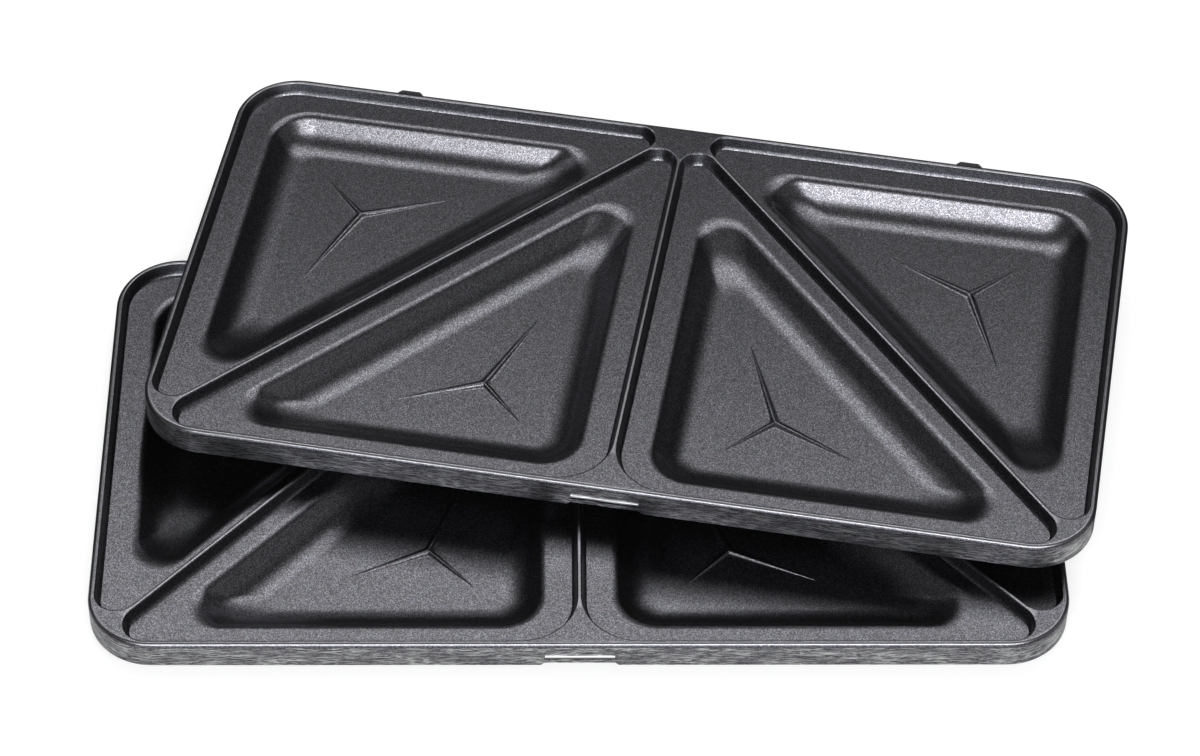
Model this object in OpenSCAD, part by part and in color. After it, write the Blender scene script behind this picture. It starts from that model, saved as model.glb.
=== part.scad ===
// A pair of removable sandwich plates, one lying turned on top of the other.
// Each plate is one casting: four triangular pockets inside a thin rim,
// a short skirt round the edge, two tabs behind and a catch slot in front.
// Sizes are in millimetres. X runs left to right, Y front to back, Z up.

/* [Plate] */
// Overall width of one plate
plate_w = 236; // [226:1:250]
// Overall depth of one plate, without the rear tabs
plate_d = 128; // [122:1:136]
// Outside corner radius of the plate
corner_r = 16; // [13:0.5:18]
// Width of the rim at the top, on all four sides
rim_w = 1.6; // [1.2:0.1:2.2]
// Width of the crest of the ridges between the pockets
ridge_w = 1; // [0.8:0.1:1.6]
// Height of the skirt, from the rim down
skirt_h = 7.7; // [7:0.1:9.5]
// Thickness of the skirt at its lower edge
skirt_t = 2.2; // [1.8:0.1:3]
// Thickness of the web under the lands and of the basin floors
wall_t = 2.4; // [2:0.1:3]
// Rounding of the upper outside edge
edge_r = 1.1; // [0.5:0.1:1.3]
// Rounding of the lower outside edge
foot_r = 0.6; // [0.3:0.1:1]

/* [Recess] */
// Depth of the land below the rim
recess_depth = 3.2; // [2.8:0.1:4]
// How far the recess wall leans in over its height
recess_draft = 0.9; // [0.6:0.1:1.4]
// Fillet where the recess wall meets the land
recess_fillet_r = 1; // [0.5:0.1:1.4]
// Radius of the right-angled recess corners at the rim
recess_corner_r = 14; // [12:0.5:15]
// Radius of the sharp recess corners at the front of the plate
front_tip_r = 5.4; // [4:0.1:6.5]
// Radius of the sharp recess corners at the back, in the outer pockets
outer_tip_r = 4.2; // [3.6:0.1:5.5]
// Radius of the sharp recess corners at the back, in the inner pockets
inner_tip_r = 4.9; // [3.6:0.1:5.5]

/* [Basin] */
// Depth of the basin floor below the land
basin_depth = 6.2; // [5.2:0.1:7.5]
// Slope of the basin wall from level
basin_slope = 47.5; // [36:0.5:50]
// Fillet at the top of the basin wall
brow_r = 3; // [1.5:0.1:4]
// Fillet between the basin wall and its floor
sole_r = 9.4; // [6:0.1:11]
// Plate edge to basin edge, in the outer pockets
outer_land = 8.6; // [7.5:0.1:10]
// Middle line or front edge to basin edge, in the inner pockets
inner_land = 7.5; // [6.5:0.1:9]
// Ridge line to basin edge, in the outer pockets
outer_ridge_land = 3.4; // [3:0.1:4.5]
// Ridge line to basin edge, in the inner pockets
inner_ridge_land = 5.2; // [4:0.1:6]
// Radius of the right-angled basin corner at the land
basin_corner_r = 11.2; // [9:0.1:13]
// Radius of the sharp basin corners at the land
basin_tip_r = 7.5; // [6:0.1:9]
// Radius of the basin floor's corners
floor_corner_r = 3; // [2:0.1:5]

/* [Star] */
// Height of the three-armed raised star on each basin floor
star_h = 0.5; // [0.3:0.1:0.8]
// Length of a star arm as a share of the way to the basin corner
star_reach = 0.31; // [0.25:0.01:0.38]
// Width of a star arm at the middle
star_w = 1.6; // [1:0.1:2.4]

/* [Catch] */
// Width of the catch slot in the front of the skirt
slot_w = 16.9; // [14:0.1:20]
// Height of the catch slot
slot_h = 1.4; // [1.2:0.1:1.8]
// Depth of the catch slot into the skirt
slot_deep = 4.4; // [3.6:0.1:5]
// Rim down to the top of the catch slot
slot_drop = 3.9; // [3.6:0.1:4.2]
// Thickness of the steel catch strip
strip_t = 0.7; // [0.5:0.1:0.9]
// How far the catch strip stands out of the skirt
strip_out = 0.3; // [0.1:0.1:0.6]
// Clearance at each end of the catch strip
strip_fit = 0.05; // [0.03:0.01:0.1]
// Height of the notch in the skirt below the catch slot
notch_h = 1.1; // [0.8:0.1:1.4]
// Metal left round the catch slot behind the skirt
slot_wall = 2; // [1.2:0.1:3]

/* [Rear tabs] */
// Distance between the middles of the two rear tabs
tab_pitch = 150; // [130:1:170]
// Width of a rear tab
tab_w = 6.8; // [5:0.1:10]
// How far a rear tab stands out behind the plate
tab_out = 4.4; // [3:0.1:6]
// Thickness of a rear tab
tab_t = 2.4; // [1.8:0.1:3]
// Rim down to the top of a rear tab
tab_drop = 3.5; // [2.5:0.1:4.5]
// Chamfer on the outer corners of a rear tab
tab_chamfer = 1; // [0.4:0.1:1.6]

/* [Underside] */
// Radius of the round heating rod that seats under the basins
rod_r = 3.3; // [3:0.1:4]
// Depth of the rod seat in the basin undersides
rod_seat = 1.2; // [0.6:0.1:1.4]
// Middle of the plate to the side runs of the rod seat
rod_x = 84; // [78:1:88]
// Middle of the plate to the long runs of the rod seat
rod_y = 33; // [30:1:38]
// Bend radius of the rod seat
rod_bend_r = 20; // [14:1:26]

/* [Stacking] */
// Turn of the upper plate, seen from above
upper_turn = -10.4; // [-14:0.1:-6]
// Upper plate's shift to the right
upper_x = 17.7; // [10:0.1:24]
// Upper plate's shift to the back
upper_y = 37.8; // [30:0.1:44]
// Clearance between the lower rim and the upper basins at rest
stack_clear = 0.1; // [0.05:0.05:0.3]

/* [Hidden] */
$fn = 48;

// Steps along each rounded pocket corner and along each wall fillet
corner_steps = 8;
fillet_steps = 4;
// Overshoot of cutting shapes past a face
over = 1;
// How much thicker the skirt is at the web than at its lower edge
skirt_draft = 0.3;
// How far the skirt section runs into the plate, and where joined shapes start inside it
skirt_lap = skirt_t + 2 * skirt_draft;
skirt_root = skirt_t / 2;
// How far the basin shells and the catch block run up into the web
web_lap = wall_t / 2;
// How far the star runs down into the basin floor
star_root = wall_t / 4;

// Whole height of one plate, from its basin undersides to its rim
plate_h = recess_depth + basin_depth + wall_t;
web_bottom = recess_depth + wall_t;
half_w = plate_w / 2;
half_d = plate_d / 2;

// Horizontal run of the basin wall with both of its fillets
both_r = brow_r + sole_r;
straight_drop = basin_depth - both_r * (1 - cos(basin_slope));
basin_run = both_r * sin(basin_slope) + straight_drop / tan(basin_slope);

// Lean of the recess wall from upright, and where its fillet ends
recess_slope = 90 - atan(recess_draft / recess_depth);
recess_run = recess_draft + recess_fillet_r * tan(recess_slope / 2);

// Corners of the right-hand bread field, split by its slanting ridge
back_middle = [0, half_d];
back_right = [half_w, half_d];
front_right = [half_w, -half_d];
front_middle = [0, -half_d];

// Each pocket: its corners, then recess insets and radii, basin insets and radii.
// Corners run anticlockwise, the right angle first. Insets follow the sides.
outer_pocket = [
    [back_right, back_middle, front_right],
    [rim_w, ridge_w / 2, rim_w],
    [recess_corner_r, outer_tip_r, front_tip_r],
    [outer_land, outer_ridge_land, outer_land],
    [basin_corner_r, basin_tip_r, basin_tip_r]
];
inner_pocket = [
    [front_middle, front_right, back_middle],
    [rim_w, ridge_w / 2, ridge_w / 2],
    [recess_corner_r, front_tip_r, inner_tip_r],
    [inner_land, inner_ridge_land, inner_land],
    [basin_corner_r, basin_tip_r, basin_tip_r]
];

// Unit vector that points into an anticlockwise triangle from side i
function inward(tri, i) =
    let (side = tri[(i + 1) % 3] - tri[i])
    [-side[1], side[0]] / norm(side);

// Corner i of a triangle whose sides are all moved inwards by their insets
function inset_corner(tri, insets, i) =
    let (
        j = (i + 2) % 3,
        a = inward(tri, j),
        b = inward(tri, i),
        p = a * tri[j] + insets[j],
        q = b * tri[i] + insets[i],
        det = a[0] * b[1] - a[1] * b[0]
    )
    [(p * b[1] - q * a[1]) / det, (q * a[0] - p * b[0]) / det];

function grown(list, by) = [for (v = list) v + by];

// One rounded corner of an inset triangle, as points on its arc
function corner_arc(tri, insets, i, r) =
    let (
        middle = inset_corner(tri, grown(insets, r), i),
        out = -inward(tri, (i + 2) % 3),
        next = -inward(tri, i),
        start = atan2(out[1], out[0]),
        sweep = (atan2(next[1], next[0]) - start + 360) % 360
    )
    [for (k = [0 : corner_steps])
        let (angle = start + sweep * k / corner_steps)
        middle + r * [cos(angle), sin(angle)]];

// A rounded triangle at height z
function ring(tri, insets, radii, z) =
    [for (i = [0 : 2]) for (p = corner_arc(tri, insets, i, radii[i])) [p[0], p[1], z]];

// Basin corner radii at a run in from the basin edge
function basin_radii(radii, run) =
    [for (r = radii) r + (floor_corner_r - r) * run / basin_run];

// Angles along a fillet, from one slope to another
function fillet_angles(from, to) =
    [for (k = [0 : fillet_steps]) from + (to - from) * k / fillet_steps];

// Recess section as [run, depth] pairs: its wall, then the fillet onto the land
recess_section = concat(
    [[-recess_draft * over / recess_depth, -over]],
    [for (a = fillet_angles(recess_slope, 0))
        [recess_run - recess_fillet_r * sin(a), recess_depth - recess_fillet_r * (1 - cos(a))]]
);

// Basin section below the land: brow fillet, sloping wall and sole fillet
basin_section = concat(
    [for (a = fillet_angles(0, basin_slope)) [brow_r * sin(a), brow_r * (1 - cos(a))]],
    [for (a = fillet_angles(basin_slope, 0))
        [basin_run - sole_r * sin(a), basin_depth - sole_r * (1 - cos(a))]]
);

// Outside of the basin: the same wall and sole fillet, one wall thickness out
shell_sole = [for (a = fillet_angles(basin_slope, 0))
    [basin_run - (sole_r + wall_t) * sin(a), basin_depth - sole_r * (1 - cos(a)) + wall_t * cos(a)]];
shell_rise = (shell_sole[0][1] - web_lap) / sin(basin_slope);
shell_section = concat(
    [shell_sole[0] - shell_rise * [cos(basin_slope), sin(basin_slope)]],
    shell_sole
);

// A solid through a stack of rings, listed from the top down
module loft(rings) {
    n = len(rings[0]);
    last = len(rings) - 1;
    points = [for (r = rings) for (p = r) p];
    sides = [for (k = [0 : last - 1]) for (i = [0 : n - 1])
        let (j = (i + 1) % n)
        [k * n + i, k * n + j, (k + 1) * n + j, (k + 1) * n + i]];
    top = [for (i = [n - 1 : -1 : 0]) i];
    bottom = [for (i = [0 : n - 1]) last * n + i];
    polyhedron(points = points, faces = concat([top], sides, [bottom]));
}

// The hollow of one pocket: recess, land and basin
module pocket_hollow(pocket) {
    tri = pocket[0];
    loft(concat(
        [for (s = recess_section)
            ring(tri, grown(pocket[1], s[0]), grown(pocket[2], -s[0]), -s[1])],
        [for (s = basin_section)
            ring(tri, grown(pocket[3], s[0]), basin_radii(pocket[4], s[0]), -recess_depth - s[1])]
    ));
}

// The shell of one basin that hangs below the web
module basin_shell(pocket) {
    loft([for (s = shell_section)
        ring(pocket[0], grown(pocket[3], s[0]), basin_radii(pocket[4], s[0]), -recess_depth - s[1])]);
}

// The raised star on one basin floor: three arms that thin out towards the corners
module star(pocket) {
    tri = pocket[0];
    corners = [for (i = [0 : 2]) inset_corner(tri, pocket[3], i)];
    sides = [for (i = [0 : 2]) norm(corners[(i + 2) % 3] - corners[(i + 1) % 3])];
    middle = (sides * corners) / (sides * [1, 1, 1]);
    tips = [for (c = corners) middle + star_reach * (c - middle)];
    valleys = [for (i = [0 : 2]) middle - star_w / 2 * inward(tri, i)];
    base = [for (i = [0 : 2]) each [tips[i], valleys[i]]];
    z = -recess_depth - basin_depth;
    points = concat(
        [for (p = base) [p[0], p[1], z - star_root]],
        [for (p = base) [p[0], p[1], z]],
        [[middle[0], middle[1], z + star_h]]
    );
    walls = [for (i = [0 : 5]) [i, (i + 6), (i + 1) % 6 + 6, (i + 1) % 6]];
    slopes = [for (i = [0 : 5]) [12, (i + 1) % 6 + 6, i + 6]];
    polyhedron(points = points, faces = concat([[0, 1, 2, 3, 4, 5]], walls, slopes));
}

// All four pockets: the two on the right and their mirror images
module each_pocket() {
    for (side = [0, 1])
        mirror([side, 0, 0])
            children();
}

// Plan of the plate, drawn in from its edge by the inset
module plan(inset) {
    w = plate_w - 2 * inset;
    d = plate_d - 2 * inset;
    r = corner_r - inset;
    square([w - 2 * r, d], center = true);
    square([w, d - 2 * r], center = true);
    for (x = [-1, 1], y = [-1, 1])
        translate([x * (w / 2 - r), y * (d / 2 - r)])
            circle(r);
}

// Section of the rim and skirt, from the outside face inwards
module skirt_section() {
    translate([edge_r, -edge_r])
        circle(edge_r);
    translate([foot_r, foot_r - skirt_h])
        circle(foot_r);
    polygon([
        [0, -edge_r], [0, foot_r - skirt_h], [foot_r, -skirt_h], [skirt_t, -skirt_h],
        [skirt_t + skirt_draft, -web_bottom], [skirt_lap, -web_bottom], [skirt_lap, 0], [edge_r, 0]
    ]);
}

// Runs the skirt section right round the plate
module skirt() {
    for (turn = [0, 180]) rotate(turn) {
        translate([0, -half_d, 0])
            rotate([90, 0, 90])
                linear_extrude(plate_w - 2 * corner_r, center = true)
                    skirt_section();
        translate([half_w, 0, 0])
            rotate([90, 0, 180])
                linear_extrude(plate_d - 2 * corner_r, center = true)
                    skirt_section();
        for (side = [0, 1])
            mirror([side, 0, 0])
                translate([half_w - corner_r, half_d - corner_r, 0])
                    rotate_extrude(angle = 90)
                        translate([corner_r, 0])
                            mirror([1, 0])
                                skirt_section();
    }
}

// The two tabs that hook into the back of the cooker
module rear_tabs() {
    root = half_d - skirt_root;
    tip = half_d + tab_out;
    for (x = [-1, 1])
        translate([x * tab_pitch / 2, 0, -tab_drop - tab_t])
            linear_extrude(tab_t)
                polygon([
                    [-tab_w / 2, root], [tab_w / 2, root],
                    [tab_w / 2, tip - tab_chamfer], [tab_w / 2 - tab_chamfer, tip],
                    [tab_chamfer - tab_w / 2, tip], [-tab_w / 2, tip - tab_chamfer]
                ]);
}

// The block behind the skirt that the catch slot is sunk into
module catch_block() {
    low = skirt_h - notch_h;
    deep = slot_deep + slot_wall - skirt_root;
    translate([-slot_w / 2 - slot_wall, skirt_root - half_d, -low])
        cube([slot_w + 2 * slot_wall, deep, low - web_bottom + web_lap]);
}

// The catch slot, and the notch below it with its slanting ends
module catch_cuts() {
    translate([-slot_w / 2, -half_d - over, -slot_drop - slot_h])
        cube([slot_w, slot_deep + over, slot_h]);
    translate([0, -half_d - over, 0])
        rotate([-90, 0, 0])
            linear_extrude(skirt_t + skirt_draft + 2 * over)
                polygon([
                    [-slot_w / 2, skirt_h - notch_h], [slot_w / 2, skirt_h - notch_h],
                    [slot_w / 2 + notch_h + over, skirt_h + over],
                    [-slot_w / 2 - notch_h - over, skirt_h + over]
                ]);
}

// The loop of heating rod whose round seat is pressed into the basin undersides
module rod_loop() {
    translate([0, 0, -plate_h - rod_r + rod_seat]) {
        for (y = [-rod_y, rod_y])
            translate([0, y, 0])
                rotate([0, 90, 0])
                    cylinder(r = rod_r, h = 2 * (rod_x - rod_bend_r), center = true);
        for (x = [-rod_x, rod_x])
            translate([x, 0, 0])
                rotate([90, 0, 0])
                    cylinder(r = rod_r, h = 2 * (rod_y - rod_bend_r), center = true);
        for (i = [0 : 3])
            rotate([0, i > 1 ? 180 : 0, 0])
                mirror([0, i % 2, 0])
                    translate([rod_x - rod_bend_r, rod_y - rod_bend_r, 0])
                        rotate_extrude(angle = 90)
                            translate([rod_bend_r, 0])
                                circle(rod_r);
    }
}

// One whole plate, with its rim at height 0
module plate() {
    difference() {
        union() {
            skirt();
            translate([0, 0, -web_bottom])
                linear_extrude(web_bottom)
                    plan(skirt_t);
            rear_tabs();
            catch_block();
            each_pocket() {
                basin_shell(outer_pocket);
                basin_shell(inner_pocket);
            }
        }
        each_pocket() {
            pocket_hollow(outer_pocket);
            pocket_hollow(inner_pocket);
        }
        catch_cuts();
        rod_loop();
    }
    each_pocket() {
        star(outer_pocket);
        star(inner_pocket);
    }
}

// The steel strip in the upper half of the catch slot
module catch_strip() {
    length = slot_w - 2 * strip_fit;
    translate([-length / 2, -half_d - strip_out, -slot_drop - strip_t])
        cube([length, slot_deep + strip_out, strip_t]);
}

// Both plates lie on the floor at height 0, with the pair centred over the origin.
// A point of a turned plate, and the reach of each plate in both directions:
function turned(p) = [
    p[0] * cos(upper_turn) - p[1] * sin(upper_turn),
    p[0] * sin(upper_turn) + p[1] * cos(upper_turn)
];
corner_middles = [for (x = [-1, 1], y = [-1, 1]) [x * (half_w - corner_r), y * (half_d - corner_r)]];
tab_tips = [for (x = [-1, 1], s = [-1, 1])
    [x * tab_pitch / 2 + s * (tab_w / 2 - tab_chamfer), half_d + tab_out]];
upper_corners = [for (p = corner_middles) turned(p) + [upper_x, upper_y]];
upper_tabs = [for (p = tab_tips) turned(p) + [upper_x, upper_y]];
reach_left = min(-half_w, min([for (p = upper_corners) p[0] - corner_r]));
reach_right = max(half_w, max([for (p = upper_corners) p[0] + corner_r]));
reach_front = -half_d - strip_out;
reach_back = max(max([for (p = upper_corners) p[1] + corner_r]), max([for (p = upper_tabs) p[1]]));
pair_middle = [(reach_left + reach_right) / 2, (reach_front + reach_back) / 2];

module lower_place() {
    translate([-pair_middle[0], -pair_middle[1], plate_h])
        children();
}

module upper_place() {
    lower_place()
        translate([upper_x, upper_y, plate_h + stack_clear])
            rotate(upper_turn)
                children();
}

module lower_plate() {
    color("#4b4c51")
        lower_place()
            plate();
}

module lower_catch_strip() {
    color("#dcdde0")
        lower_place()
            catch_strip();
}

module upper_plate() {
    color("#4b4c51")
        upper_place()
            plate();
}

module upper_catch_strip() {
    color("#dcdde0")
        upper_place()
            catch_strip();
}

lower_plate();
lower_catch_strip();
upper_plate();
upper_catch_strip();
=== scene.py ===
# %% [markdown]
# # A pair of removable sandwich plates
# Two equal cast plates lie one on top of the other, the upper one turned. Each has
# four triangular pockets inside a thin rim, a short skirt, two tabs behind and a
# catch slot with a bright steel strip in front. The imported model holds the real
# sizes and the places, and this lesson adds what makes the plates look real: soft
# fillets that catch the light, a speckled coating, and brushed marks on the skirt.

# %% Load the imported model
import math

import bmesh
import bpy
from mathutils import Matrix, Vector


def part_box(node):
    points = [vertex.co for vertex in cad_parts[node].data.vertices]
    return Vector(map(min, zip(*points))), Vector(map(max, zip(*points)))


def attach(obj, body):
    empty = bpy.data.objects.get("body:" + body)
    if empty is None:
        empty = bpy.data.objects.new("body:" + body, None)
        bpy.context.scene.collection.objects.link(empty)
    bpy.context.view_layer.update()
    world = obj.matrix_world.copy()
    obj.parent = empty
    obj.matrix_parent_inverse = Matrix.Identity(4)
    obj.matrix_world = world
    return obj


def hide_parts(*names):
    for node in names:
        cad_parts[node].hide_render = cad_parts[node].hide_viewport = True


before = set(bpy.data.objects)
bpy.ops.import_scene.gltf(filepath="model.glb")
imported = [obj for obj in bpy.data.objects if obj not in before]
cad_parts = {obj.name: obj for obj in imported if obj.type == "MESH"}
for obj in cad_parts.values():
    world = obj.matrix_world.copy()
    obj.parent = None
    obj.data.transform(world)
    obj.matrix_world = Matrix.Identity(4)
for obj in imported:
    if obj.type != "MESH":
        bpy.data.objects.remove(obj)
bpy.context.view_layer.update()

# %% [markdown]
# ## Camera
# The photograph looks down at the plates from the front, steeply enough to show
# every pocket floor. A long lens keeps the far edge nearly as wide as the near one.
# The camera is set by the point that it aims at, its distance and its three angles,
# because these say more than a bare position would. The picture is slightly tilted,
# which is the roll.

# %% Camera
MM = 0.001
CAMERA_AIM = Vector((-6.9, -15.6, 22.9)) * MM
CAMERA_DISTANCE = 967.3 * MM
CAMERA_AZIMUTH = math.radians(1.5)
CAMERA_ELEVATION = math.radians(47.5)
CAMERA_ROLL = math.radians(1.13)
LENS = 116.7
SENSOR_WIDTH = 36


def camera_turn():
    """Rotation of a camera that looks along the azimuth, down by the elevation, then rolls."""
    heading = Matrix.Rotation(-CAMERA_AZIMUTH, 4, "Z")
    tip = Matrix.Rotation(math.pi / 2 - CAMERA_ELEVATION, 4, "X")
    roll = Matrix.Rotation(CAMERA_ROLL, 4, "Z")
    return heading @ tip @ roll


camera_data = bpy.data.cameras.new("camera")
camera_data.lens = LENS
camera_data.sensor_width = SENSOR_WIDTH
camera_data.sensor_fit = "HORIZONTAL"
camera = bpy.data.objects.new("camera", camera_data)
turn = camera_turn()
backwards = turn.to_3x3() @ Vector((0, 0, 1))
camera.matrix_world = Matrix.Translation(CAMERA_AIM + backwards * CAMERA_DISTANCE) @ turn
bpy.context.scene.collection.objects.link(camera)
bpy.context.scene.camera = camera
print("camera at", [round(c, 4) for c in camera.matrix_world.translation])

# %% [markdown]
# ## Sizes
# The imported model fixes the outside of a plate, so its width and depth come from
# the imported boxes. The other main sizes are the real ones in millimetres. A few are
# finer than in the plain solid: the crest of the rim and ridges is rounded, and the
# recess wall runs out in a curve. A cast edge is never sharp, and its small rounding
# draws the thin bright lines round every pocket.

# %% Sizes in millimetres
lower_low, lower_high = (Vector(corner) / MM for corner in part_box("lower_plate"))
strip_low, strip_high = (Vector(corner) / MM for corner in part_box("lower_catch_strip"))

TAB_OUT = 4.4
PLATE_W = lower_high.x - lower_low.x
PLATE_D = lower_high.y - lower_low.y - TAB_OUT
PLATE_H = lower_high.z - lower_low.z
HALF_W, HALF_D = PLATE_W / 2, PLATE_D / 2
CORNER_R = 16
RIM_W = 1.6
RIDGE_W = 1.0
CREST_R = 0.5
SKIRT_H = 7.7
SKIRT_T = 2.2
SKIRT_DRAFT = 0.3
EDGE_R = 1.1
FOOT_R = 0.35
WALL_T = 2.4

RECESS_DEPTH = 3.2
RECESS_SLOPE = math.radians(74)
RECESS_FOOT_R = 2.2
RECESS_FOOT_SLOPE = math.radians(41)
BASIN_DEPTH = 6.2
BASIN_SLOPE = math.radians(47.5)
BROW_R = 3.0
SOLE_R = 9.4
FLOOR_CORNER_R = 3
WEB_BOTTOM = RECESS_DEPTH + WALL_T

BOTH_R = BROW_R + SOLE_R
BASIN_RUN = BOTH_R * math.sin(BASIN_SLOPE) + (
    BASIN_DEPTH - BOTH_R * (1 - math.cos(BASIN_SLOPE))
) / math.tan(BASIN_SLOPE)
RECESS_STRAIGHT = RECESS_DEPTH - RECESS_FOOT_R * (
    math.cos(RECESS_FOOT_SLOPE) - math.cos(RECESS_SLOPE)
)
RECESS_RUN = RECESS_STRAIGHT / math.tan(RECESS_SLOPE) + RECESS_FOOT_R * (
    math.sin(RECESS_SLOPE) - math.sin(RECESS_FOOT_SLOPE)
)

STACK_GAP = 0.1
UPPER_TURN = math.radians(-10.4)
UPPER_SHIFT = Vector((17.7, 37.8, PLATE_H + STACK_GAP))
LOWER_AT = Vector(((lower_low.x + lower_high.x) / 2, lower_low.y + HALF_D, lower_high.z))
print("plate %.1f x %.1f x %.1f mm, basin wall runs %.2f mm" % (PLATE_W, PLATE_D, PLATE_H, BASIN_RUN))

# %% [markdown]
# ## Rounded triangles
# Every pocket is a stack of rounded triangles: each level of its wall is the same
# triangle, drawn in a little further. A triangle is given by its corners, how far
# each side is drawn in, and a radius at each corner. All rings of one pocket have
# the same number of points, so two neighbouring rings always join into a neat band
# of four-sided faces.

# %% Rounded triangles
CORNER_STEPS = 20


def inward(corners, i):
    """Unit vector that points into an anticlockwise triangle from side i."""
    side = corners[(i + 1) % 3] - corners[i]
    return Vector((-side.y, side.x)).normalized()


def inset_corner(corners, insets, i):
    """Corner i after all sides have moved in by their insets."""
    j = (i + 2) % 3
    a, b = inward(corners, j), inward(corners, i)
    p, q = a.dot(corners[j]) + insets[j], b.dot(corners[i]) + insets[i]
    det = a.x * b.y - a.y * b.x
    return Vector(((p * b.y - q * a.y) / det, (q * a.x - p * b.x) / det))


def rounded_triangle(corners, insets, radii, z):
    """One ring: the inset triangle with an arc at each corner, at height z."""
    points = []
    for i in range(3):
        r = radii[i]
        middle = inset_corner(corners, [inset + r for inset in insets], i)
        out, after = -inward(corners, (i + 2) % 3), -inward(corners, i)
        start = math.atan2(out.y, out.x)
        sweep = (math.atan2(after.y, after.x) - start) % (2 * math.pi)
        for k in range(CORNER_STEPS + 1):
            angle = start + sweep * k / CORNER_STEPS
            points.append(Vector((middle.x + r * math.cos(angle), middle.y + r * math.sin(angle), z)))
    return points


def rounded_rectangle(inset, z):
    """One ring of the plate's outline, drawn in by the inset, at height z."""
    points = []
    r = CORNER_R - inset
    for quarter, (sx, sy) in enumerate([(1, 1), (-1, 1), (-1, -1), (1, -1)]):
        for k in range(CORNER_STEPS + 1):
            angle = (quarter + k / CORNER_STEPS) * math.pi / 2
            points.append(Vector((
                sx * (HALF_W - CORNER_R) + r * math.cos(angle),
                sy * (HALF_D - CORNER_R) + r * math.sin(angle),
                z,
            )))
    return points


OUTER_POCKET = dict(
    corners=[Vector((HALF_W, HALF_D)), Vector((0, HALF_D)), Vector((HALF_W, -HALF_D))],
    recess_insets=[RIM_W, RIDGE_W / 2, RIM_W],
    recess_radii=[14, 4.2, 5.4],
    basin_insets=[8.6, 3.4, 8.6],
    basin_radii=[11.2, 7.5, 7.5],
)
INNER_POCKET = dict(
    corners=[Vector((0, -HALF_D)), Vector((HALF_W, -HALF_D)), Vector((0, HALF_D))],
    recess_insets=[RIM_W, RIDGE_W / 2, RIDGE_W / 2],
    recess_radii=[14, 5.4, 4.9],
    basin_insets=[7.5, 5.2, 7.5],
    basin_radii=[11.2, 7.5, 7.5],
)
print("a ring has", len(rounded_rectangle(0, 0)), "or", 3 * (CORNER_STEPS + 1), "points")

# %% [markdown]
# ## Sections
# A section says how a wall goes down: pairs of how far in and how deep. A fillet is
# an arc between two slopes, and its many small steps are what makes a highlight
# roll over the edge. A narrow flat band before and after each fillet keeps the
# shading of the flat surfaces truly flat.

# %% Sections of the pocket walls
FLAT_BAND = 0.03
RECESS_STEPS = 6
BROW_STEPS = 8
SOLE_STEPS = 14


def steps(start, end, count):
    """Values from start to end in equal steps, both ends included."""
    return [start + (end - start) * k / count for k in range(count + 1)]


crest_reach = CREST_R * math.tan(RECESS_SLOPE / 2)
recess_section = [(-crest_reach - FLAT_BAND, 0)]
recess_section += [
    (-crest_reach + CREST_R * math.sin(a), CREST_R * (1 - math.cos(a)))
    for a in steps(0, RECESS_SLOPE, RECESS_STEPS)
]
recess_section += [
    (
        RECESS_RUN - RECESS_FOOT_R * (math.sin(a) - math.sin(RECESS_FOOT_SLOPE)),
        RECESS_DEPTH - RECESS_FOOT_R * (math.cos(RECESS_FOOT_SLOPE) - math.cos(a)),
    )
    for a in steps(RECESS_SLOPE, RECESS_FOOT_SLOPE, RECESS_STEPS)
]
recess_section += [(RECESS_RUN + FLAT_BAND, RECESS_DEPTH)]

basin_section = [(-FLAT_BAND, 0)]
basin_section += [
    (BROW_R * math.sin(a), BROW_R * (1 - math.cos(a))) for a in steps(0, BASIN_SLOPE, BROW_STEPS)
]
basin_section += [
    (BASIN_RUN - SOLE_R * math.sin(a), BASIN_DEPTH - SOLE_R * (1 - math.cos(a)))
    for a in steps(BASIN_SLOPE, 0, SOLE_STEPS)
]
basin_section += [(BASIN_RUN + FLAT_BAND, BASIN_DEPTH)]
print("levels: recess", len(recess_section), "basin", len(basin_section))

# %% [markdown]
# The underside of a basin follows the same sole, one wall thickness further out, and
# bends up to the web with a fillet of its own. The skirt starts on the rim's flat
# top, rolls over the outside edge, goes down and round the foot, and up inside.

# %% Sections of the underside and the skirt
UNDER_R = 2.0
UNDER_STEPS = 5
UNDER_SOLE_STEPS = 10
under_sole_r = SOLE_R + WALL_T
under_foot = (
    BASIN_RUN - under_sole_r * math.sin(BASIN_SLOPE),
    BASIN_DEPTH + WALL_T - under_sole_r * (1 - math.cos(BASIN_SLOPE)),
)
under_meet = under_foot[0] - (under_foot[1] - WALL_T) / math.tan(BASIN_SLOPE)
under_start = under_meet - UNDER_R * math.tan(BASIN_SLOPE / 2)
under_section = [(under_start - FLAT_BAND, WALL_T)]
under_section += [
    (under_start + UNDER_R * math.sin(a), WALL_T + UNDER_R * (1 - math.cos(a)))
    for a in steps(0, BASIN_SLOPE, UNDER_STEPS)
]
under_section += [
    (BASIN_RUN - under_sole_r * math.sin(a), BASIN_DEPTH + WALL_T - under_sole_r * (1 - math.cos(a)))
    for a in steps(BASIN_SLOPE, 0, UNDER_SOLE_STEPS)
]
under_section += [(BASIN_RUN + FLAT_BAND, BASIN_DEPTH + WALL_T)]

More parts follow.
